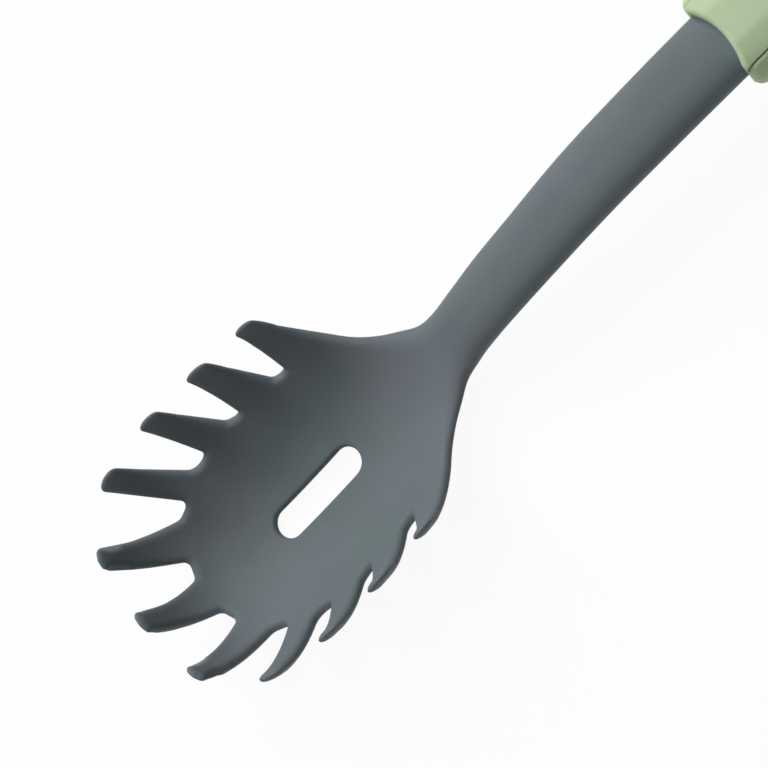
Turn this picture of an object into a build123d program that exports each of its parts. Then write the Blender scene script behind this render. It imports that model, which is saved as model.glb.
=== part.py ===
from build123d import *
import os
from math import asin, cos, pi, radians, sin, sqrt, tan

os.makedirs("parts", exist_ok=True)

# Pasta server lying on its back: +X points to the tines, +Y to its left, +Z up, and the
# symmetry plane is XZ.
# All lengths are in millimetres. X is measured from the middle of the drain slot while
# the pieces are made. At the end everything moves so that the origin is the middle of
# the underside of the whole object.

# Bowl: an egg-shaped hollow, long towards the shaft and short towards the tines
wall_thickness = 3.0
bowl_depth = 33.0
bowl_half_width = 31.9
bowl_front_length = 35.4
bowl_rear_length = 91.0
bowl_centre_x = 8.4
rear_flare_share = 0.56
rear_lift = 5.0
tine_drop = 4.9
tine_tip_fall_degrees = 2.2
rim_rounding = 1.2

# Neck: half widths of the plan outline where the bowl narrows into the shaft
neck_plan_x = [-58.0, -52.0, -45.2, -42.1, -36.8, -32.4, -29.4, -26.6, -18.0]
neck_plan_half_width = [6.6, 7.2, 9.0, 10.9, 14.4, 18.3, 22.0, 25.5, 36.5]

# Gaps between the tines, for one side, from the shaft round to the tip.
# Each gap has two root corners, as shares of the bowl's half width from its centre.
gap_rear_root_shares = [(-0.79, 0.731), (-0.32, 0.772), (0.103, 0.74), (0.452, 0.589), (0.777, 0.294)]
gap_front_root_shares = [(-0.669, 0.75), (-0.171, 0.79), (0.273, 0.724), (0.652, 0.55), (0.86, 0.16)]
gap_rear_side_degrees = [96.4, 89.5, 70.8, 50.7, 30.6]
gap_front_side_degrees = [56.1, 52.8, 42.1, 11.1, -13.0]
gap_length = 25.0
gap_root_rounding = 1.9

# Drain slot
slot_length = 28.0
slot_width = 7.4

# Shaft: oval sections, from inside the handle to inside the bowl's rear wall.
# Heights are shares of the bowl's depth, so that shaft and bowl keep meeting.
collar_x = -138.4
shaft_end_x = -150.0
shaft_crown_x = -108.0
shaft_crown_share = 0.7152
shaft_x = [-97.4, -78.9, -66.0, -54.3, -48.5, -40.0, -26.0, -12.0]
shaft_height_shares = [0.6939, 0.597, 0.5152, 0.3939, 0.3061, 0.2273, 0.1394, 0.0879]
shaft_half_width = [8.6, 8.15, 7.95, 7.6, 7.6, 7.4, 5.0, 2.6]
shaft_half_height = [4.6, 4.4, 4.2, 4.0, 3.6, 3.1, 1.8, 0.8]
collar_half_width = 8.95
collar_half_height = 4.9

# Tang: the shaft's narrow end inside the handle
tang_end_x = -212.0
tang_half_width = 5.5
tang_half_height = 3.2
tang_rounding = 1.0

# Handle: an arched bar of rounded section
butt_x = -268.0
butt_centre_z = 7.7
handle_half_width = 12.9
handle_half_height = 8.3
handle_squareness = 2.6
front_sweep = 2.3
front_rounding = 1.2
butt_rounding = 3.5
butt_plan_radius = 16.0

# Side grips: rounded pads let into both sides of the handle body
grip_seat_y = 9.8
grip_rear_x = -238.0
grip_nose_rounding = 2.6
groove_rounding = 0.6

# Locking pin through the handle body and the tang
pin_x = -185.0
pin_radius = 1.5

# Hanging hole
hole_x = -254.0
hole_radius = 4.0
hole_rounding = 0.8

# Tips of the tines, below the rim that the full bowl would have
tine_height = wall_thickness + bowl_depth - tine_drop

# Working values
overrun = 40.0
grid_count = 29
grid_half_angle = 84.5
small_angle = 0.0001
small_length = 0.001
quarter_shares = [0.25, 0.5, 0.75]
half_turn = 180.0

shaft_crown_z = shaft_crown_share * bowl_depth
shaft_z = [height_share * bowl_depth for height_share in shaft_height_shares]

# The handle's centre line is an arc from the shaft's crown down to the butt.
butt_run = shaft_crown_x - butt_x
butt_drop = shaft_crown_z - butt_centre_z
arch_radius = (butt_run * butt_run + butt_drop * butt_drop) / (butt_drop + butt_drop)
arch_z = shaft_crown_z - arch_radius
arch_axis = Axis((shaft_crown_x, 0, arch_z), (0, 1, 0))


def bowl_inside(u, v):
    """Point of the bowl's inner surface in the direction of the angles u (along) and v (across)."""
    along = tan(u)
    across = tan(v)
    size = sqrt(along * along + across * across + 1)
    run = along / size
    rear = max(0, -run) ** 3
    x = bowl_centre_x + (bowl_front_length + bowl_rear_length) / 2 * run
    x = x + (bowl_front_length - bowl_rear_length) / 2 * run * run
    y = bowl_half_width * (1 + rear_flare_share * rear) * across / size
    z = wall_thickness + bowl_depth - bowl_depth / size + rear_lift * rear
    return Vector(x, y, z)


def bowl_outside(u, v):
    """The same point carried outward through the wall."""
    point = bowl_inside(u, v)
    step_u = bowl_inside(u + small_angle, v) - point
    step_v = bowl_inside(u, v + small_angle) - point
    return point - step_u.cross(step_v).normalized() * wall_thickness


def space_above(surface):
    """Solid of everything over a bowl surface."""
    steps = [radians(grid_half_angle) * (2 * i / (grid_count - 1) - 1) for i in range(grid_count)]
    points = [[surface(u, v) for v in steps] for u in steps]
    face = Face.make_surface_from_array_of_points(points, tol=wall_thickness / 600, min_deg=3)
    return Solid.extrude(face, Vector(0, 0, bowl_depth + overrun))


def plan_prism(sketch):
    """Solid of a plan outline, from under the table up past the tines."""
    return extrude(sketch, tine_height + overrun, both=True)


def head_outline():
    """Plan of the head: narrow at the neck, flaring into the rear edge of the first tine."""
    left = Spline(*[(x, y) for x, y in zip(neck_plan_x, neck_plan_half_width)])
    right = mirror(left, Plane.XZ)
    start = left.position_at(0)
    end = left.position_at(1)
    beyond = end + left.tangent_at(1) * overrun
    front_x = bowl_centre_x + bowl_front_length + overrun
    corners = [(beyond.X, beyond.Y), (front_x, beyond.Y), (front_x, -beyond.Y), (beyond.X, -beyond.Y)]
    round_front = Polyline((end.X, end.Y), *corners, (end.X, -end.Y))
    return make_face([left, round_front, right, Line((start.X, -start.Y), (start.X, start.Y))])


def tine_gaps():
    """The gaps between the tines, on both sides, as solids to cut away."""
    gaps = []
    for i in range(len(gap_rear_root_shares)):
        rear = Vector(bowl_centre_x, 0) + Vector(*gap_rear_root_shares[i]) * bowl_half_width
        front = Vector(bowl_centre_x, 0) + Vector(*gap_front_root_shares[i]) * bowl_half_width
        rear_way = Vector(gap_length, 0).rotate(Axis.Z, gap_rear_side_degrees[i])
        front_way = Vector(gap_length, 0).rotate(Axis.Z, gap_front_side_degrees[i])
        corners = [rear, rear + rear_way, front + front_way, front]
        outline = Polygon(*[(p.X, p.Y) for p in corners], align=None)
        corners = outline.vertices()
        roots = corners.sort_by_distance(rear)[0:1] + corners.sort_by_distance(front)[0:1]
        gap = plan_prism(fillet(roots, gap_root_rounding))
        gaps = gaps + [gap, mirror(gap, Plane.XZ)]
    return gaps


def make_head():
    """The bowl with its tines and drain slot, all rims rounded."""
    head = space_above(bowl_outside) & plan_prism(head_outline())
    fall = radians(tine_tip_fall_degrees)
    middle = (bowl_centre_x, 0, tine_height)
    tips = Plane(origin=middle, x_dir=(cos(fall), 0, -sin(fall)), z_dir=(sin(fall), 0, cos(fall)))
    head = split(head, tips, keep=Keep.BOTTOM)
    head = head - space_above(bowl_inside)
    head = head - tine_gaps() - plan_prism(SlotOverall(slot_length, slot_width))
    return fillet(head.edges(), rim_rounding)


def arch_height(x):
    """Height of the handle's centre line."""
    away = x - shaft_crown_x
    return arch_z + sqrt(arch_radius * arch_radius - away * away)


def arch_angle(x):
    """Angle in degrees between the arch's crown and the place x on its centre line."""
    return asin((shaft_crown_x - x) / arch_radius) * half_turn / pi


def arch_plane(x):
    """Plane square to the handle's centre line, its own X along the object's Y."""
    turn = radians(arch_angle(x))
    origin = (x, 0, arch_height(x))
    return Plane(origin=origin, x_dir=(0, 1, 0), z_dir=(cos(turn), 0, sin(turn)))


def arched_bar(section, front_x, rear_x):
    """A section carried along the handle's centre line from one place to another."""
    start = arch_plane(front_x) * section
    sweep_angle = arch_angle(rear_x) - arch_angle(front_x)
    return revolve(start, arch_axis, -sweep_angle)


def make_shaft():
    """Oval shaft that thins out inside the bowl's rear wall, with its tang."""
    stations = [shaft_end_x, collar_x, (collar_x + shaft_x[0]) / 2]
    heights = [arch_height(x) for x in stations] + shaft_z
    widths = [collar_half_width, collar_half_width, (collar_half_width + shaft_half_width[0]) / 2]
    depths = [collar_half_height, collar_half_height, (collar_half_height + shaft_half_height[0]) / 2]
    stations = stations + shaft_x
    widths = widths + shaft_half_width
    depths = depths + shaft_half_height
    sections = []
    for x, z, width, depth in zip(stations, heights, widths, depths):
        place = Plane(origin=(x, 0, z), x_dir=(0, 1, 0), z_dir=(1, 0, 0))
        sections = sections + [place * Ellipse(width, depth)]
    shaft = loft(sections)
    section = RectangleRounded(tang_half_width * 2, tang_half_height * 2, tang_rounding)
    tang = arched_bar(section, (shaft_end_x + collar_x) / 2, tang_end_x)
    return shaft + tang


def handle_section():
    """Full section of the handle, a rounded oval between an ellipse and a rectangle."""
    points = [(handle_half_width, 0)]
    for turn in [radians(quarter_share * half_turn / 2) for quarter_share in quarter_shares]:
        wide = cos(turn) ** (2 / handle_squareness) * handle_half_width
        high = sin(turn) ** (2 / handle_squareness) * handle_half_height
        points = points + [(wide, high)]
    quarter = Spline(*points, (0, handle_half_height), tangents=[(0, 1), (-1, 0)])
    half = [quarter, mirror(quarter, Plane.YZ)]
    return make_face(half + [mirror(edge, Plane.XZ) for edge in half])


def grip_blank():
    """What lies outside the seat plane of the handle's left side, with sharp edges."""
    depth = handle_half_width - grip_seat_y
    side = Pos(grip_seat_y + depth, 0) * Rectangle(depth * 2, handle_half_width * 2)
    return arched_bar(handle_section() & side, collar_x, grip_rear_x)


def make_grip():
    """Left-hand side grip: a pad with a rounded nose and rounded edges along its grooves."""
    pad = grip_blank()
    seat = pad.faces().sort_by(Axis.Y)[0]
    nose = pad.edges().filter_by(GeomType.BSPLINE).sort_by(Axis.X)[-1]
    pad = fillet(nose, grip_nose_rounding)
    grooves = pad.edges().filter_by(GeomType.CIRCLE).filter_by_position(Axis.Y, 0, grip_seat_y + small_length)
    return fillet(grooves, groove_rounding)


def make_body(shaft, pin):
    """Handle body: rounded bar with a swept-back front and a round butt, hollow for the tang."""
    body = arched_bar(handle_section(), collar_x, butt_x - butt_plan_radius)
    sweep_radius = (collar_half_width * collar_half_width / front_sweep + front_sweep) / 2
    body = body - Pos(collar_x - front_sweep + sweep_radius, 0, 0) * Cylinder(sweep_radius, overrun * 4)
    front_edges = [edge for edge in body.edges() if edge.center().X > collar_x - front_sweep * 2]
    body = fillet(front_edges, front_rounding)
    butt_middle = butt_x + butt_plan_radius
    plan = Circle(butt_plan_radius) + Pos(-butt_middle / 2, 0) * Rectangle(-butt_middle, handle_half_width * 4)
    body = body & plan_prism(Pos(butt_middle, 0) * plan)
    rear_edges = [edge for edge in body.edges() if edge.center().X < butt_middle and edge.length > hole_radius]
    body = fillet(rear_edges, butt_rounding)
    across = arch_plane(hole_x)
    hole = Plane(across.origin, x_dir=(0, 1, 0), z_dir=across.y_dir) * Cylinder(hole_radius, overrun)
    body = body - hole
    rims = body.edges().filter_by_position(Axis.X, hole_x - hole_radius * 2, hole_x + hole_radius * 2)
    body = fillet([edge for edge in rims if edge.length < hole_radius * 7], hole_rounding)
    blank = grip_blank()
    body = body - blank - mirror(blank, Plane.XZ) - shaft - pin
    return body


def make_pin():
    """Cross pin that ends flush with the grips' seats."""
    place = Plane(origin=(pin_x, 0, arch_height(pin_x)), x_dir=(1, 0, 0), z_dir=(0, 1, 0))
    return place * Cylinder(pin_radius, grip_seat_y * 2)


pin = make_pin()
shaft = make_shaft()
head = make_head()
body = make_body(shaft, pin)
grip = make_grip()
nodes = {
    "head_and_shaft": head + shaft - pin,
    "handle_body": body,
    "left_side_grip": grip,
    "right_side_grip": mirror(grip, Plane.XZ),
    "locking_pin": pin,
}
whole = Compound(children=[Compound(piece.solids()) for piece in nodes.values()]).bounding_box()
for name, piece in nodes.items():
    moved = Pos(-whole.center().X, 0, -whole.min.Z) * piece
    print(name, "volume", round(moved.volume), "valid", moved.is_valid)
    export_step(moved, "parts/" + name + ".step")
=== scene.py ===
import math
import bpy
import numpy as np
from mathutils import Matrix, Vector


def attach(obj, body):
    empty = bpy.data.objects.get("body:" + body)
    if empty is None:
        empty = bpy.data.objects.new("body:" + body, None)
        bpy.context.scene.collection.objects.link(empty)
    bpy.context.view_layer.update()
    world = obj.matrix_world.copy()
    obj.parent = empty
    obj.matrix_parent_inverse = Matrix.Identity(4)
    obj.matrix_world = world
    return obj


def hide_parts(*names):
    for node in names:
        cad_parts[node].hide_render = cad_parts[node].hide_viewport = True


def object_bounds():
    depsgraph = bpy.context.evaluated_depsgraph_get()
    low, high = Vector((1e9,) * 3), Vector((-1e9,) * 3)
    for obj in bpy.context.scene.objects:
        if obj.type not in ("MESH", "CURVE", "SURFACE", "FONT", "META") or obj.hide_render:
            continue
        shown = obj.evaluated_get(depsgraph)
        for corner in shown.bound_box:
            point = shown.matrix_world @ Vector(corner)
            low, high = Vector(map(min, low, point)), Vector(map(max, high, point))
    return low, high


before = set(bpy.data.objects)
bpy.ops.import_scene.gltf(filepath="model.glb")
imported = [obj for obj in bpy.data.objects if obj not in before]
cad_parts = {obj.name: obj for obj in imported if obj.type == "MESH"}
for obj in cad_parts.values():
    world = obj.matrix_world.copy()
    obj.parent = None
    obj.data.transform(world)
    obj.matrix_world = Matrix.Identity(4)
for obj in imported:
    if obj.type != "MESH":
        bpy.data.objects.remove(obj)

# %% [markdown]
# A pasta server is a deep toothed spoon for lifting spaghetti out of hot water. Its head and
# shaft are one moulding of charcoal nylon, and its handle is sage green with soft side grips.
# The solids already have the true sizes. This lesson gives the head one flowing skin, and then
# it is about what light shows: how dull or glossy each surface is, and the fine texture that
# the mould left on it. We start with the libraries, the box of the solids and a word for colours.

MM = 0.001
WHITE = (1.0, 1.0, 1.0, 1.0)
solid_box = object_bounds()
print("nodes", sorted(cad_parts), "box", solid_box)


def srgb(red, green, blue):
    """Linear colour of a screen colour: c/12.92 below 0.04, else ((c + 0.055) / 1.055) ** 2.4."""
    screen = np.array([red, green, blue]) / 255
    linear = np.where(screen <= 0.04045, screen / 12.92, ((screen + 0.055) / 1.055) ** 2.4)
    return (*[float(v) for v in linear], 1.0)


# %% [markdown]
# A finish is a small graph of nodes. Every finish here starts from a position on the object,
# in metres, so that the pattern stays where it is when the camera moves. Five helpers keep the
# graphs short: one makes the material, one adds cloudy noise, one stretches a value to a new
# range, one blends two colours by it, and one turns it into a fine relief.

# %% Helpers for finishes
MIX_COLOUR_A, MIX_COLOUR_B, MIX_COLOUR_RESULT = 6, 7, 2


def new_finish(name, roughness, colour):
    """Material with one shader, and its node tree, shader and object position."""
    finish = bpy.data.materials.new(name)
    finish.use_nodes = True
    tree = finish.node_tree
    shader = tree.nodes["Principled BSDF"]
    shader.inputs["Roughness"].default_value = roughness
    shader.inputs["Base Color"].default_value = colour
    finish.diffuse_color = colour
    place = tree.nodes.new("ShaderNodeTexCoord").outputs["Object"]
    return finish, tree, shader, place


def cloud(tree, place, size, detail=3.0):
    """Noise whose blotches are about the given size in metres."""
    noise = tree.nodes.new("ShaderNodeTexNoise")
    noise.inputs["Scale"].default_value = 1 / size
    noise.inputs["Detail"].default_value = detail
    tree.links.new(place, noise.inputs["Vector"])
    return noise.outputs["Fac"]


def spread(tree, value, low, high, to_low=0.0, to_high=1.0):
    """Maps low..high of a value onto to_low..to_high, and holds it there outside."""
    ramp = tree.nodes.new("ShaderNodeMapRange")
    for name, number in (("From Min", low), ("From Max", high), ("To Min", to_low), ("To Max", to_high)):
        ramp.inputs[name].default_value = number
    tree.links.new(value, ramp.inputs["Value"])
    return ramp.outputs["Result"]


def blend(tree, share, first, second):
    """Colour between two colours or sockets, by a share from 0 to 1."""
    mix = tree.nodes.new("ShaderNodeMix")
    mix.data_type = "RGBA"
    for end, colour in ((mix.inputs[MIX_COLOUR_A], first), (mix.inputs[MIX_COLOUR_B], second)):
        if isinstance(colour, tuple):
            end.default_value = colour
        else:
            tree.links.new(colour, end)
    tree.links.new(share, mix.inputs[0])
    return mix.outputs[MIX_COLOUR_RESULT]


def grain(tree, shader, height, depth, strength):
    """Fine relief from a height value, depth in metres."""
    bump = tree.nodes.new("ShaderNodeBump")
    bump.inputs["Distance"].default_value = depth
    bump.inputs["Strength"].default_value = strength
    tree.links.new(height, bump.inputs["Height"])
    tree.links.new(bump.outputs["Normal"], shader.inputs["Normal"])


# %% [markdown]
# The head is glass-filled nylon. It leaves the mould with a fine satin texture: dull seen
# straight on, with a soft grey sheen where it turns away. The colour isn't quite even, because
# the melt sets a little more violet in some places and a little more green in others, with paler
# specks of glass, and use rubs it smoother here and there. So we blend two near greys by large
# clouds, add specks half a millimetre across, vary the roughness by clouds of middle size, and
# add a grain a third of a millimetre wide.

# %% Nylon finish
NYLON_GREEN_GREY = srgb(100, 111, 114)
NYLON_VIOLET_GREY = srgb(104, 111, 116)
NYLON_SPECK = srgb(118, 128, 130)
NYLON_ROUGHNESS, NYLON_SMOOTHEST, NYLON_ROUGHEST = 0.63, 0.58, 0.68
NYLON_SPECULAR = 0.2
FLOW_SIZE, RUB_SIZE, SPECK_SIZE, GRAIN_SIZE = 45 * MM, 9 * MM, 0.5 * MM, 0.35 * MM
GRAIN_DEPTH = 0.03 * MM


def nylon_finish():
    """Two near greys with paler specks, rubbed in places, under a fine grain."""
    finish, tree, shader, place = new_finish("charcoal_nylon_satin", NYLON_ROUGHNESS, NYLON_GREEN_GREY)
    shader.inputs["Specular IOR Level"].default_value = NYLON_SPECULAR
    flow = spread(tree, cloud(tree, place, FLOW_SIZE, detail=2.0), low=0.4, high=0.6)
    tone = blend(tree, flow, NYLON_GREEN_GREY, NYLON_VIOLET_GREY)
    speck = spread(tree, cloud(tree, place, SPECK_SIZE, detail=4.0), low=0.56, high=0.74, to_high=0.35)
    colour = blend(tree, speck, tone, NYLON_SPECK)
    tree.links.new(colour, shader.inputs["Base Color"])
    patches = cloud(tree, place, RUB_SIZE)
    rub = spread(tree, patches, low=0.35, high=0.65, to_low=NYLON_SMOOTHEST, to_high=NYLON_ROUGHEST)
    tree.links.new(rub, shader.inputs["Roughness"])
    grain(tree, shader, cloud(tree, place, GRAIN_SIZE, detail=2.0), GRAIN_DEPTH, strength=0.35)
    return finish


nylon = nylon_finish()
print("made", nylon.name)

# %% [markdown]
# The handle body is sage green plastic and the grips are soft-touch rubber in the same dye. Rubber
# is duller and catches a velvety sheen at the edge. Both get faint clouds of a deeper shade, as in
# any light-coloured moulding, and a very fine grain, coarser on the rubber.

# %% Sage finishes
SAGE_LIGHT = srgb(185, 205, 168)
SAGE_DEEP = srgb(178, 199, 159)
SAGE_SPECULAR, SAGE_SHEEN_ROUGHNESS = 0.3, 0.5
SHADE_SIZE, POLISH_SIZE = 14 * MM, 6 * MM
POLISHED, DULLED = -0.04, 0.05


def sage_finish(name, roughness, sheen, grain_size):
    """Light green with clouds of a deeper one, and a roughness that varies a little round its own."""
    finish, tree, shader, place = new_finish(name, roughness, SAGE_LIGHT)
    clouds = spread(tree, cloud(tree, place, SHADE_SIZE), low=0.35, high=0.65)
    tree.links.new(blend(tree, clouds, SAGE_LIGHT, SAGE_DEEP), shader.inputs["Base Color"])
    shader.inputs["Specular IOR Level"].default_value = SAGE_SPECULAR
    shader.inputs["Sheen Weight"].default_value = sheen
    shader.inputs["Sheen Roughness"].default_value = SAGE_SHEEN_ROUGHNESS
    patches = cloud(tree, place, POLISH_SIZE)
    rub = spread(tree, patches, low=0.3, high=0.7, to_low=roughness + POLISHED, to_high=roughness + DULLED)
    tree.links.new(rub, shader.inputs["Roughness"])
    grain(tree, shader, cloud(tree, place, grain_size, detail=2.0), GRAIN_DEPTH, strength=0.3)
    return finish


sage_plastic = sage_finish("sage_plastic_satin", roughness=0.5, sheen=0.0, grain_size=0.3 * MM)
sage_rubber = sage_finish("sage_rubber_soft", roughness=0.62, sheen=0.15, grain_size=0.5 * MM)
print("made", sage_plastic.name, sage_rubber.name)

# %% [markdown]
# The locking pin is hidden under the grips, but whoever opens the handle finds plain drawn steel:
# bright, with fine lines running along it. The lines are noise stretched along the pin's length.

# %% Steel finish
STEEL_GREY = srgb(196, 198, 200)
STEEL_ROUGHNESS, STEEL_SMOOTHEST, STEEL_ROUGHEST = 0.3, 0.22, 0.4
LINE_SIZE, LINE_DEPTH = 0.15 * MM, 0.01 * MM
ALONG_PIN = (1.0, 0.02, 1.0)


def steel_finish():
    """Bright metal with noise read fifty times more slowly along the pin."""
    finish, tree, shader, place = new_finish("drawn_steel", STEEL_ROUGHNESS, STEEL_GREY)
    shader.inputs["Metallic"].default_value = 1.0
    stretch = tree.nodes.new("ShaderNodeMapping")
    stretch.inputs["Scale"].default_value = ALONG_PIN
    tree.links.new(place, stretch.inputs["Vector"])
    lines = cloud(tree, stretch.outputs["Vector"], LINE_SIZE)
    rub = spread(tree, lines, low=0.3, high=0.7, to_low=STEEL_SMOOTHEST, to_high=STEEL_ROUGHEST)
    tree.links.new(rub, shader.inputs["Roughness"])
    grain(tree, shader, lines, LINE_DEPTH, strength=0.3)
    return finish


steel = steel_finish()
print("made", steel.name)

# %% [markdown]
# Each solid has one slot for its finish, so dressing it is one assignment.

# %% Dress the solids
finishes = {
    "head_and_shaft": nylon,
    "handle_body": sage_plastic,
    "right_side_grip": sage_rubber,
    "left_side_grip": sage_rubber,
    "locking_pin": steel,
}
for node, finish in finishes.items():
    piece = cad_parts[node]
    for place in piece.material_slots:
        place.material = finish
    print(node, "triangles", len(piece.data.polygons), "slots", len(piece.material_slots))

# %% [markdown]
# The head and shaft are one moulding, and the solid shows it with hard seams where bowl and
# shaft meet. The real one flows. We could carve it by hand or melt the solids together in a
# remesh, but a formula is cleaner. Think of the moulding as a sheet of clay: a middle surface,
# a thickness, and an outline whose rim is rounded. In the bowl the middle surface is an egg and
# the sheet is thin. Along the shaft it is a plain arch, and the sheet is so thick, and its rim
# so wide, that the cross-section is an oval. Between them one blends into the other.
# First the egg and the arch, in millimetres from the middle of the drain slot: the egg flares a
# little behind and its rear wall is lifted, and the arch is given by its height at some lengths.

# %% Sizes of the egg and the arch
BUTT_TO_SLOT = 268.0
WALL = 3.0
EGG_CENTRE, EGG_HALF_WIDTH, EGG_FRONT, EGG_REAR, EGG_DEPTH = 8.4, 33.5, 36.4, 92.5, 35.1
EGG_FLARE_SHARE, EGG_LIFT = 0.56, 5.0
NECK_END, NECK_START = -60.0, -30.0
SHAFT_X = np.array([-212, -185, -150, -138.4, -117.9, -97.4, -78.9, -66, -54.3, -48.5, -40, -26])
SHAFT_Z = np.array([17, 20, 22.5, 23, 23.5, 22.9, 19.7, 17, 13, 10.1, 7.5, 4.6])
slot_x = solid_box[0][0] / MM + BUTT_TO_SLOT
print("slot at", round(slot_x, 2), "mm from the origin")

# %% [markdown]
# The egg is a stretched ball, so each of its points has a direction (east, north) on a unit ball.
# To lay triangles of even size we unroll the ball flat, as a map of the world with its middle
# at the bowl's bottom: a point at the angle a from the bottom lies at the distance a on the map.
# Behind the neck the map simply runs on along the shaft.

# %% From the flat map to the middle surface
EGG_LONG = (EGG_FRONT + EGG_REAR) / 2
EGG_SKEW = (EGG_FRONT - EGG_REAR) / 2
MAP_STRETCH = 2.5
TINY, NEARLY_ONE = 1e-9, 0.9999
NECK_PASSES = 6


def smooth_curve(at, places, values):
    """Curve through the values: cubic between neighbours, with slopes from their differences."""
    slope = np.gradient(values, places)
    i = np.clip(np.searchsorted(places, at) - 1, 0, len(places) - 2)
    run = places[i + 1] - places[i]
    s = np.clip((at - places[i]) / run, 0, 1)
    start, end = values[i], values[i + 1]
    pull = s * (1 - s) * ((1 - s) * slope[i] - s * slope[i + 1]) * run
    return start + (end - start) * s * s * (3 - 2 * s) + pull


def east_of(x):
    """Share east for a length x: the root of EGG_LONG * e + EGG_SKEW * e * e = x - EGG_CENTRE."""
    return (np.sqrt(EGG_LONG**2 + 4 * EGG_SKEW * (x - EGG_CENTRE)) - EGG_LONG) / (2 * EGG_SKEW)


def width_at(east):
    """Half width of the egg for north = 1: wider behind by the flare share times (-east) ** 3."""
    return EGG_HALF_WIDTH * (1 + EGG_FLARE_SHARE * np.maximum(0, -east) ** 3)


def egg_height(east, north):
    """Height WALL / 2 + EGG_DEPTH * (1 - sqrt(1 - east ** 2 - north ** 2)) + EGG_LIFT * (-east) ** 3."""
    up = np.sqrt(np.clip(1 - east**2 - north**2, 0, 1))
    return WALL / 2 + EGG_DEPTH * (1 - up) + EGG_LIFT * np.maximum(0, -east) ** 3


NECK_EAST = east_of(NECK_END)


def neck_radius(north):
    """Distance from the ball's axis on the line where the neck ends: hypot(NECK_EAST, north)."""
    return np.minimum(np.hypot(NECK_EAST, north), NEARLY_ONE)


def unroll(x, y):
    """Map point of a plan point: (east, north) times asin(r) / r, then straight on behind the neck."""
    east = east_of(np.maximum(x, NECK_END))
    north = y / width_at(east)
    r = np.clip(np.hypot(east, north), TINY, NEARLY_ONE)
    grow = np.arcsin(r) / r * EGG_HALF_WIDTH
    return np.stack([east * grow - np.maximum(NECK_END - x, 0) / MAP_STRETCH, north * grow], -1)


def plan_of(chart):
    """Plan x, y, east and north of a map point, the reverse of unroll."""
    p, q = chart[:, 0] / EGG_HALF_WIDTH, chart[:, 1] / EGG_HALF_WIDTH
    angle = np.clip(np.hypot(p, q), TINY, math.pi / 2)
    east, north = p * np.sin(angle) / angle, q * np.sin(angle) / angle
    behind = q.copy()
    for _ in range(NECK_PASSES):
        r = neck_radius(behind)
        behind = q * r / np.arcsin(r)
    r = neck_radius(behind)
    neck_p = NECK_EAST * np.arcsin(r) / r
    past = np.maximum(neck_p - p, 0) * EGG_HALF_WIDTH * MAP_STRETCH
    east = np.where(past > 0, NECK_EAST, east)
    north = np.where(past > 0, behind, north)
    x = EGG_CENTRE + EGG_LONG * east + EGG_SKEW * east**2 - past
    return x, north * width_at(east), east, north


def shaft_share(x):
    """0 in the bowl, 1 along the shaft, by 3s^2 - 2s^3 over the neck."""
    s = np.clip((NECK_START - x) / (NECK_START - NECK_END), 0, 1)
    return s * s * (3 - 2 * s)


def middle_surface(chart):
    """Points x, y, z: z is the egg's height times (1 - share) plus the arch's height times share."""
    x, y, east, north = plan_of(chart)
    share = shaft_share(x)
    arch = smooth_curve(x, SHAFT_X, SHAFT_Z)
    return np.stack([x, y, egg_height(east, north) * (1 - share) + arch * share], -1)


def upward(chart, step=0.01):
    """Unit normals: the cross product of small steps along the map's two directions."""
    here = middle_surface(chart)
    along = middle_surface(chart + [step, 0]) - here
    across = middle_surface(chart + [0, step]) - here
    normal = np.cross(along, across)
    return normal / np.linalg.norm(normal, axis=1, keepdims=True)


print("neck at east", round(float(NECK_EAST), 3))

# %% [markdown]
# The outline runs up the shaft, flares into the first tine, and then goes in and out round each
# gap. All tines end on one plane, which falls a little towards the front. A tine's side starts
# at a gap's root and goes straight, seen from above, until the egg reaches that plane. Its root
# is given as a share of the egg's size, and its direction in degrees from straight ahead.

# %% Half the outline, seen from above
TIP_HEIGHT, TIP_FALL = 31.0, math.radians(0.9)
TIP_ROUNDING, ROOT_ROUNDING = 2.7, 1.9
TANG_END, SHAFT_END, SHOULDER = -212.0, -150.0, 2.0
OUTLINE_X = np.array([-212, -152, -148, -138.4, -97.4, -78.9, -66, -58, -51, -45.2, -42.1, -36.8,
                      -32.4, -29.4, -26.6, -18])
OUTLINE_Y = np.array([5.5, 5.5, 8.95, 8.95, 8.6, 8.15, 7.9, 7.65, 7.8, 9, 10.9, 14.4, 18.3, 22, 25.5, 36.5])
ROOT_SHARE_OF = 31.3
REAR_ROOT_SHARES = [(-0.793, 0.751), (-0.301, 0.775), (0.115, 0.76), (0.494, 0.622), (0.817, 0.3)]
FRONT_ROOT_SHARES = [(-0.682, 0.764), (-0.182, 0.805), (0.278, 0.738), (0.64, 0.566), (0.87, 0.163)]
REAR_SIDE_DEGREES = [92.8, 89.5, 70.8, 50.7, 30.6]
FRONT_SIDE_DEGREES = [56.1, 49.9, 42.1, 11.1, -13.0]
TANG_POINTS, SHAFT_POINTS, SIDE_POINTS = 25, 130, 5
LONGEST_SIDE, HALVINGS = 25.0, 40


def tip_plane(x):
    """Height of the plane that the tines end on: TIP_HEIGHT less the fall in front of the centre."""
    return TIP_HEIGHT - math.tan(TIP_FALL) * (x - EGG_CENTRE)


def rise_to_tip(start, degrees):
    """Points from a gap's root along its side, ending where the egg meets the tips' plane."""
    way = np.array([math.cos(math.radians(degrees)), math.sin(math.radians(degrees))])
    low, high = 0.0, LONGEST_SIDE
    for _ in range(HALVINGS):
        reach = (low + high) / 2
        x, y = start + way * reach
        east = east_of(x)
        is_short = egg_height(east, y / width_at(east)) < tip_plane(x)
        low, high = (reach, high) if is_short else (low, reach)
    return start + way * reach * np.linspace(0, 1, SIDE_POINTS)[:, None]


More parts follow.
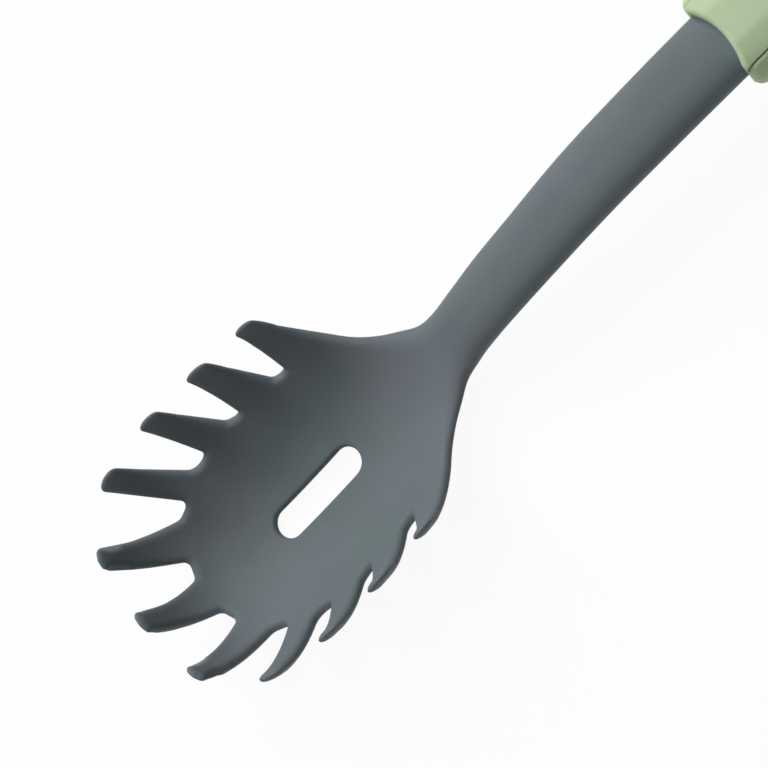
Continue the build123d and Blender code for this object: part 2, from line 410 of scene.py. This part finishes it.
def edge_of_shaft():
    """Points from the tang's end to the first tine's tip, where the egg meets the tips' plane."""
    tang = np.linspace(TANG_END, SHAFT_END, TANG_POINTS)[:-1]
    x = np.concatenate([tang, np.linspace(SHAFT_END, OUTLINE_X[-1], SHAFT_POINTS)])
    y = smooth_curve(x, OUTLINE_X, OUTLINE_Y)
    y = np.where(x < SHAFT_END + SHOULDER, np.interp(x, OUTLINE_X, OUTLINE_Y), y)
    edge = np.stack([x, y], -1)
    east = east_of(np.maximum(x, NECK_END))
    above = egg_height(east, y / width_at(east)) - tip_plane(x)
    past = np.nonzero((above > 0) & (x > NECK_END))[0][0]
    share = -above[past - 1] / (above[past] - above[past - 1])
    tip = edge[past - 1] + (edge[past] - edge[past - 1]) * share
    return [*edge[: past - 2], tip]


def half_outline():
    """Map points and corner radii of the left half, from the tang's end to the front tine."""
    points = edge_of_shaft()
    radii = [0.0] * (len(points) - 1) + [TIP_ROUNDING]
    for rear, front, rear_way, front_way in zip(
        REAR_ROOT_SHARES, FRONT_ROOT_SHARES, REAR_SIDE_DEGREES, FRONT_SIDE_DEGREES
    ):
        centre = np.array([EGG_CENTRE, 0])
        up = rise_to_tip(centre + np.array(rear) * ROOT_SHARE_OF, rear_way)
        down = rise_to_tip(centre + np.array(front) * ROOT_SHARE_OF, front_way)
        points += [*up[::-1], *down]
        side = [0.0] * (SIDE_POINTS - 2)
        radii += [TIP_ROUNDING, *side, ROOT_ROUNDING, ROOT_ROUNDING, *side, TIP_ROUNDING]
    return unroll(*np.array(points).T), radii


print("points of half the outline", len(half_outline()[1]))

# %% [markdown]
# The right half is the mirror image of the left. Each tine's end is crowned like a fingertip, by
# one more corner between its two, and all corners are rounded: a circle that touches both edges.
# The drain slot is two half circles joined by straight sides.

# %% Whole outline and slot
TIP_CROWN, CROWN_ROUNDING = 1.0, 4.0
SLOT_LENGTH, SLOT_WIDTH = 28.0, 7.4
OUTLINE_SPACING = 0.55
ARC_POINTS, HALF_CIRCLE_POINTS = 9, 19
MOST_OF_AN_EDGE = 0.49


def round_corner(before, corner, after, radius):
    """Arc of a circle that touches both edges: it starts radius / tan(half the corner) from the corner."""
    one, two = before - corner, after - corner
    one_length, two_length = np.linalg.norm(one), np.linalg.norm(two)
    one, two = one / one_length, two / two_length
    half = math.acos(np.clip(one @ two, -1, 1)) / 2
    cut = min(radius / math.tan(half), MOST_OF_AN_EDGE * one_length, MOST_OF_AN_EDGE * two_length)
    radius = cut * math.tan(half)
    centre = corner + (one + two) / np.linalg.norm(one + two) * radius / math.sin(half)
    first, last = corner + one * cut - centre, corner + two * cut - centre
    share = np.linspace(0, 1, ARC_POINTS)[:, None]
    angle = math.pi - 2 * half
    return centre + (np.sin((1 - share) * angle) * first + np.sin(share * angle) * last) / math.sin(angle)


def close_spaced(loop):
    """The closed loop with points added so that no step is longer than OUTLINE_SPACING."""
    after = np.roll(loop, -1, 0)
    steps = np.maximum(1, np.ceil(np.linalg.norm(after - loop, axis=1) / OUTLINE_SPACING)).astype(int)
    share = np.concatenate([np.arange(n) / n for n in steps])[:, None]
    return np.repeat(loop, steps, 0) * (1 - share) + np.repeat(after, steps, 0) * share


def crowned(loop, radii):
    """The loop with a point added at each tine's end, TIP_CROWN further out than its two corners."""
    points, rounds = [], []
    for i, radius in enumerate(radii):
        points.append(loop[i])
        rounds.append(radius)
        after = (i + 1) % len(loop)
        if radius == radii[after] == TIP_ROUNDING:
            middle = (loop[i] + loop[after]) / 2
            points.append(middle * (1 + TIP_CROWN / np.linalg.norm(middle)))
            rounds.append(CROWN_ROUNDING)
    return np.array(points), rounds


def whole_outline():
    """Left half, then the right half as its mirror image run backward, corners rounded."""
    half, radii = half_outline()
    loop, radii = crowned(np.concatenate([half, half[::-1] * [1, -1]]), radii + radii[::-1])
    rounded = []
    for i, radius in enumerate(radii):
        if radius == 0:
            rounded.append(loop[i : i + 1])
        else:
            rounded.append(round_corner(loop[i - 1], loop[i], loop[(i + 1) % len(loop)], radius))
    return close_spaced(np.concatenate(rounded))


def slot_outline():
    """Two half circles joined by straight sides, seen from above."""
    turn = np.linspace(-math.pi / 2, math.pi / 2, HALF_CIRCLE_POINTS)
    end = np.stack([np.cos(turn), np.sin(turn)], -1) * SLOT_WIDTH / 2 + [(SLOT_LENGTH - SLOT_WIDTH) / 2, 0]
    return close_spaced(unroll(*np.concatenate([end, -end]).T))


outer_loop, slot_loop = whole_outline(), slot_outline()
print("outline points", len(outer_loop), "and", len(slot_loop))

# %% [markdown]
# To round the rims we have to know how far each point of the sheet lies from the nearest edge,
# as a share of the rim's width there: 0 on the edge, 1 where the rim ends. The rim is half a
# wall wide round the bowl, wider on the tines, and half the shaft wide along the shaft.

# %% Distance from the edges
TINE_START, TIP_RIM_GROWTH = 12.0, 0.7
SLOT_RIM = 0.9
CHUNK = 1500


def inside_loop(chart, loop):
    """Even-odd rule: a point is inside when a ray from it crosses the loop an odd number of times."""
    a, b = loop, np.roll(loop, -1, 0)
    crossings = np.zeros(len(chart), int)
    for part in range(0, len(chart), CHUNK):
        p = chart[part : part + CHUNK, None]
        spans = (a[:, 1] > p[:, :, 1]) != (b[:, 1] > p[:, :, 1])
        rise = np.where(b[:, 1] == a[:, 1], 1, b[:, 1] - a[:, 1])
        at = a[:, 0] + (p[:, :, 1] - a[:, 1]) / rise * (b[:, 0] - a[:, 0])
        crossings[part : part + CHUNK] = (spans & (p[:, :, 0] < at)).sum(1)
    return crossings % 2 == 1


def distance_to(points, loop):
    """Shortest distance from each point in space to a closed loop of straight steps."""
    step = np.roll(loop, -1, 0) - loop
    square = np.maximum((step**2).sum(1), TINY)
    nearest = np.empty(len(points))
    for part in range(0, len(points), CHUNK):
        away = points[part : part + CHUNK, None] - loop
        share = np.clip((away * step).sum(2) / square, 0, 1)
        nearest[part : part + CHUNK] = np.sqrt(((away - share[:, :, None] * step) ** 2).sum(2).min(1))
    return nearest


def tip_share(x, z):
    """0 in the bowl and along the shaft, and 1 at the tips, growing as the height's square."""
    rise = np.clip((z - TINE_START) / (TIP_HEIGHT - TINE_START), 0, 1)
    return rise**2 * (1 - shaft_share(x))


def rim_width(x, z):
    """WALL / 2 at the bowl's rim, more on the tines, and the outline's half width along the shaft."""
    share = shaft_share(x)
    bowl_rim = WALL / 2 * (1 + TIP_RIM_GROWTH * tip_share(x, z))
    shaft_rim = np.maximum(smooth_curve(x, OUTLINE_X, OUTLINE_Y), WALL / 2)
    return bowl_rim * (1 - share) + shaft_rim * share


def points_and_rim_shares(chart):
    """Points of the middle surface, and their distance from the nearest edge as a share of its rim."""
    points = middle_surface(chart)
    outer = distance_to(points, outer_edge) / rim_width(points[:, 0], points[:, 2])
    slot = distance_to(points, slot_edge) / SLOT_RIM
    return points, np.minimum(outer, slot)


outer_edge, slot_edge = middle_surface(outer_loop), middle_surface(slot_loop)
outer_rim = rim_width(outer_edge[:, 0], outer_edge[:, 2])
print("rim from", round(float(outer_rim.min()), 2), "to", round(float(outer_rim.max()), 2), "mm")

# %% [markdown]
# Now the sheet is filled with points. Rows follow the outline, closest at the edge, where the rim
# turns quickest, and inside is an even honeycomb. A row's point is dropped where another edge is
# nearer than its own, and the honeycomb starts where the rows end.

# %% Fill the outline with points
HONEYCOMB = 0.95
ROW_DEGREES = [14, 27, 40, 54, 70]
NEAREST_ROW_SHARE, FIRST_HONEYCOMB_SHARE = 0.75, 0.85


def rows_along(loop, side, rim):
    """Points inside a loop, at rim * (1 - cos(angle)) from it, square to its direction."""
    ahead = np.roll(loop, -1, 0) - np.roll(loop, 1, 0)
    inward = np.stack([ahead[:, 1], -ahead[:, 0]], -1) * side / np.linalg.norm(ahead, axis=1)[:, None]
    rows = loop[:, None] + inward[:, None] * (row_offsets[:, None] * rim[:, None, None])
    return rows.reshape(-1, 2)


def honeycomb():
    """Rows of points half a step apart, over the whole map."""
    low, high = outer_loop.min(0), outer_loop.max(0)
    rise = HONEYCOMB * math.sqrt(3) / 2
    across = np.arange(0, high[1] + rise, rise)
    across = np.concatenate([-across[:0:-1], across])
    along = np.arange(low[0], high[0], HONEYCOMB)
    p, q = np.meshgrid(along, across)
    p = p + HONEYCOMB / 2 * (np.arange(len(across)) % 2)[:, None]
    return np.stack([p.ravel(), q.ravel()], -1)


def on_sheet(chart):
    """True inside the outline and outside the slot."""
    return inside_loop(chart, outer_loop) & ~inside_loop(chart, slot_loop)


row_offsets = 1 - np.cos(np.radians(ROW_DEGREES))
after = np.roll(outer_loop, -1, 0)
clockwise = np.sign((outer_loop[:, 0] * after[:, 1] - after[:, 0] * outer_loop[:, 1]).sum())
outer_rows = rows_along(outer_loop, -clockwise, outer_rim)
slot_rows = rows_along(slot_loop, 1.0, np.full(len(slot_loop), SLOT_RIM))
rows, inner = np.concatenate([outer_rows, slot_rows]), honeycomb()
wanted = np.tile(row_offsets, len(outer_loop) + len(slot_loop))
rows = rows[(points_and_rim_shares(rows)[1] > NEAREST_ROW_SHARE * wanted) & on_sheet(rows)]
inner = inner[(points_and_rim_shares(inner)[1] > FIRST_HONEYCOMB_SHARE) & on_sheet(inner)]
print("row points", len(rows), "honeycomb points", len(inner))

# %% [markdown]
# A Delaunay triangulation joins the points, and triangles outside the outline are thrown away.
# Then every point is lifted twice, up and down, by half the thickness times the rim's rounding,
# (1 - (1 - d) ** n) ** (1 / n) at the rim share d. With n = 2 the rim is round, and along the
# shaft n is larger and the oval squarer. On the edge itself the lift is zero, so top and bottom
# meet there in one closed skin. Towards the tips the wall gets thinner.

# %% Join the points and give the sheet its thickness
from mathutils.geometry import delaunay_2d_cdt

SHAFT_HALF_HEIGHT = np.array([3.2, 3.2, 4.9, 4.9, 4.75, 4.6, 4.4, 4.2, 4, 3.6, 3.1, 1.8])
RIM_POWER, SHAFT_POWER = 2.0, 2.6
TIP_THINNING = 0.35
WHOLE_HULL, SAME_POINT, ON_EDGE = 0, 1e-6, 1e-5


def sheet_of_triangles():
    """Map points, and the Delaunay triangles between them that lie inside the outline."""
    chart = np.concatenate([outer_loop, slot_loop, rows, inner])
    n, m = len(outer_loop), len(slot_loop)
    ring = [(i, (i + 1) % n) for i in range(n)] + [(n + i, n + (i + 1) % m) for i in range(m)]
    found = delaunay_2d_cdt([Vector(p) for p in chart], ring, [], WHOLE_HULL, SAME_POINT)
    chart = np.array([tuple(v) for v in found[0]])
    faces = np.array([tuple(f) for f in found[2]])
    faces = faces[on_sheet(chart[faces].mean(1))]
    a, b, c = (chart[faces[:, k]] for k in range(3))
    turn = (b[:, 0] - a[:, 0]) * (c[:, 1] - a[:, 1]) - (b[:, 1] - a[:, 1]) * (c[:, 0] - a[:, 0])
    faces[turn < 0] = faces[turn < 0][:, ::-1]
    return chart, faces


def moulding():
    """One closed skin: middle surface plus and minus half thickness * (1 - (1 - d) ** n) ** (1 / n)."""
    chart, faces = sheet_of_triangles()
    points, rim_share = points_and_rim_shares(chart)
    at_edge = rim_share < ON_EDGE
    faces = faces[~at_edge[faces].all(1)]
    x, share = points[:, 0], shaft_share(points[:, 0])
    oval = smooth_curve(x, SHAFT_X, SHAFT_HALF_HEIGHT)
    thinner = 1 - TIP_THINNING * tip_share(x, points[:, 2])
    half = (WALL / 2 * (1 - share) + oval * share) * thinner
    power = RIM_POWER * (1 - share) + SHAFT_POWER * share
    lift = (half * (1 - (1 - np.clip(rim_share, 0, 1)) ** power) ** (1 / power))[:, None] * upward(chart)
    top, bottom = points + lift, points - lift
    below = np.where(at_edge, np.arange(len(chart)), np.arange(len(chart)) + len(chart))
    skin = np.concatenate([faces, below[faces][:, ::-1]])
    used, skin = np.unique(skin, return_inverse=True)
    return np.concatenate([top, bottom])[used], skin.reshape(-1, 3)


skin_points, skin_faces = moulding()
sides = np.sort(skin_faces[:, [0, 1, 1, 2, 2, 0]].reshape(-1, 2), 1)
counts = np.unique(sides, axis=0, return_counts=True)[1]
print("points", len(skin_points), "triangles", len(skin_faces), "open edges", int((counts != 2).sum()))

# %% [markdown]
# The skin becomes a mesh object, smooth all over. It rides on the object's one body, takes the
# nylon finish, and stands for the solid of the head and shaft.

# %% Put the head in its place
def add_piece(name, points, faces, finish, node):
    """Mesh object from points in millimetres from the slot, riding on the object."""
    mesh = bpy.data.meshes.new(name)
    mesh.from_pydata(((points + [slot_x, 0, 0]) * MM).tolist(), [], faces.tolist())
    mesh.polygons.foreach_set("use_smooth", np.ones(len(faces), bool))
    mesh.materials.append(finish)
    piece = bpy.data.objects.new(name, mesh)
    bpy.context.scene.collection.objects.link(piece)
    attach(piece, "root")
    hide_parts(node)
    return piece


head = add_piece("toothed_bowl_and_shaft", skin_points, skin_faces, nylon, "head_and_shaft")
print("made", head.name, "in place of head_and_shaft")

# %% [markdown]
# The object lies on its back on white paper. The sheet is far larger than the view. Where it is
# looked at it is mostly plain white, and only a small part of it is lit, which keeps a faint
# shadow. A gloss or something clear would show the same white.

# %% Floor
FLOOR_SIZE = 6.0
PAPER_LIT_SHARE = 0.06
PAPER_COLOUR, PAPER_ROUGHNESS = srgb(250, 250, 250), 0.9


def looking(tree):
    """1 for a ray that is seen: straight from the camera, in a gloss or through something clear."""
    rays = tree.nodes.new("ShaderNodeLightPath")
    total = rays.outputs["Is Camera Ray"]
    for name in ("Is Glossy Ray", "Is Transmission Ray"):
        either = tree.nodes.new("ShaderNodeMath")
        either.operation = "MAXIMUM"
        tree.links.new(total, either.inputs[0])
        tree.links.new(rays.outputs[name], either.inputs[1])
        total = either.outputs[0]
    return total


def mix_into(surface, tree, share, first, second):
    """Shader between two others, by a share from 0 to 1, led into the output's surface."""
    mix = tree.nodes.new("ShaderNodeMixShader")
    for end, source in zip(mix.inputs, (share, first, second)):
        tree.links.new(source, end)
    tree.links.new(mix.outputs[0], surface)


def paper_finish():
    """Dull white paper, and over it PAPER_LIT_SHARE short of a whole of plain white where it is seen."""
    finish, tree, shader, _ = new_finish("white_paper", PAPER_ROUGHNESS, PAPER_COLOUR)
    white = tree.nodes.new("ShaderNodeEmission")
    white.inputs["Color"].default_value = WHITE
    share = tree.nodes.new("ShaderNodeMath")
    share.operation = "MULTIPLY"
    share.inputs[1].default_value = 1 - PAPER_LIT_SHARE
    tree.links.new(looking(tree), share.inputs[0])
    surface = tree.nodes["Material Output"].inputs["Surface"]
    mix_into(surface, tree, share.outputs[0], shader.outputs[0], white.outputs[0])
    return finish


def paper_sheet():
    """A flat square of four corners: x and y are plus or minus half the size, z is the floor's."""
    half = FLOOR_SIZE / 2
    low = solid_box[0][2]
    corners = [(-half, -half, low), (half, -half, low), (half, half, low), (-half, half, low)]
    mesh = bpy.data.meshes.new("paper")
    mesh.from_pydata(corners, [], [(0, 1, 2, 3)])
    mesh.materials.append(paper_finish())
    sheet = bpy.data.objects.new("paper", mesh)
    bpy.context.scene.collection.objects.link(sheet)
    return sheet


paper = paper_sheet()
print("made", paper.name, "at height", solid_box[0][2])

# %% [markdown]
# The light in a product picture is a large soft box on one side and a little light from all
# round. Here the box stands beyond the object's right-hand side as we look along it, so that
# the wall of the bowl across from it is bright, the wall on its own side dark, and the shaft
# fades from one side to the other. A weak box overhead softens the bowl's shadow, and a small
# lamp close to the floor on the other side just keeps the dark sides from going black.

# %% Lights
WORLD_STRENGTH = 0.07
LAMPS = [
    ("side_box", (0.12, -0.66, 0.75), 0.75, 10.2),
    ("top_box", (0.2, -0.1, 1.1), 0.6, 1.5),
    ("low_fill", (0.3, 0.5, 0.05), 0.1, 0.3),
]
scene = bpy.context.scene
middle = (Vector(solid_box[0]) + Vector(solid_box[1])) / 2


def soft_box(name, place, size, power):
    """Square lamp that faces the middle of the object: size in metres, power in watts."""
    light = bpy.data.lights.new(name, "AREA")
    light.shape = "SQUARE"
    light.size = size
    light.energy = power
    lamp = bpy.data.objects.new(name, light)
    lamp.location = place
    lamp.rotation_euler = (middle - Vector(place)).to_track_quat("-Z", "Y").to_euler()
    scene.collection.objects.link(lamp)
    return lamp


def surround():
    """Even pale light from all round, plain white where it is looked at."""
    world = bpy.data.worlds.new("surround")
    world.use_nodes = True
    tree = world.node_tree
    dim = tree.nodes["Background"]
    dim.inputs["Color"].default_value = WHITE
    dim.inputs["Strength"].default_value = WORLD_STRENGTH
    white = tree.nodes.new("ShaderNodeBackground")
    white.inputs["Color"].default_value = WHITE
    surface = tree.nodes["World Output"].inputs["Surface"]
    mix_into(surface, tree, looking(tree), dim.outputs[0], white.outputs[0])
    scene.world = world


surround()
lamps = [soft_box(*lamp) for lamp in LAMPS]
print("lamps", [lamp.name for lamp in lamps])

# %% [markdown]
# The camera stands half a metre above the object, behind the bowl on its left side, with a long
# lens, and it is rolled so that the handle leaves the picture at the upper right corner. Three
# facts give that: where it stands, the point that it looks at, and which way is up in its
# picture.

# %% Camera
CAMERA_PLACE = Vector((slot_x - 136.96, 156.2, 505.03)) * MM
CAMERA_AIM = Vector((slot_x - 30.66, -5.05, 10.0)) * MM
CAMERA_UP = Vector((-0.70006, -0.70951, 0.08079))
CAMERA_LENS = 107.77
SENSOR = 36.0
NEAREST_SEEN = 0.01


def add_camera():
    """Camera whose axes are right = up x back, up = back x right, and back = place - aim."""
    back = (CAMERA_PLACE - CAMERA_AIM).normalized()
    right = CAMERA_UP.cross(back).normalized()
    up = back.cross(right)
    turn = Matrix((right, up, back)).transposed().to_4x4()
    data = bpy.data.cameras.new("camera")
    data.sensor_width = SENSOR
    data.lens = CAMERA_LENS
    data.clip_start = NEAREST_SEEN
    camera = bpy.data.objects.new("camera", data)
    camera.matrix_world = Matrix.Translation(CAMERA_PLACE) @ turn
    scene.collection.objects.link(camera)
    scene.camera = camera
    return camera


camera = add_camera()
scene.view_settings.view_transform = "Standard"
print("made", camera.name, "at", round((CAMERA_PLACE - CAMERA_AIM).length, 3), "m from what it looks at")
